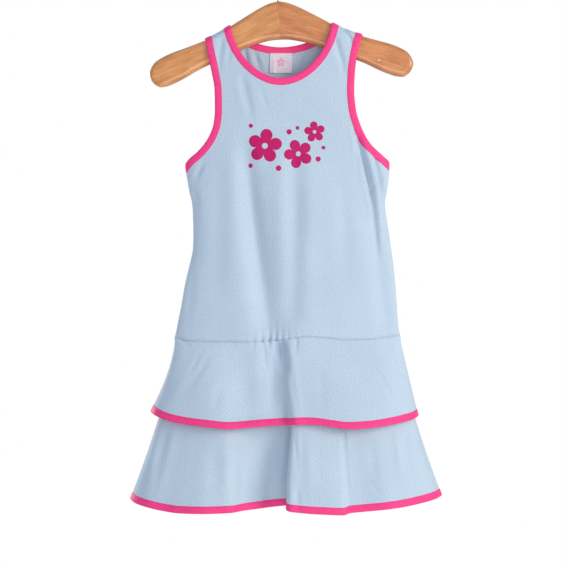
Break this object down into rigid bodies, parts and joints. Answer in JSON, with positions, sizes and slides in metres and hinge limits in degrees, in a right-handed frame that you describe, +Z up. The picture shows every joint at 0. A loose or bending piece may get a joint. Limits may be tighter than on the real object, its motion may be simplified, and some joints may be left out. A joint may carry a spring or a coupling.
{
  "type": "child's tennis dress on a wooden hanger",
  "caption": "Sleeveless drop-waist tennis dress with a tiered flared skirt and bound edges, hung on a flat wooden hanger with a wire hook",
  "frame": {"origin": "The top of the inner curve of the hanger's hook, where a rod or peg holds the part", "axes": "+Z up, the front of the dress faces -Y, +X to the right as seen from the front"},
  "size_m": [0.3584, 0.0979, 0.6484],
  "materials": {
    "jersey": "matte heather-blue cotton jersey",
    "binding": "bright pink knit binding",
    "label": "white satin",
    "wood": "clear varnish on honey-brown wood",
    "hook": "bright plated steel wire"
  },
  "bodies": {
    "root": {"front_bodice": "jersey", "back_bodice": "jersey", "upper_tier_front": "jersey", "upper_tier_back": "jersey", "lower_tier_front": "jersey", "lower_tier_back": "jersey", "neck_binding": "binding", "armhole_binding_left": "binding", "armhole_binding_right": "binding", "upper_tier_binding": "binding", "lower_tier_binding": "binding", "neck_label": "label", "hanger_arm_left": "wood", "hanger_arm_right": "wood", "hanger_hook": "hook"}
  },
  "joints": []
}
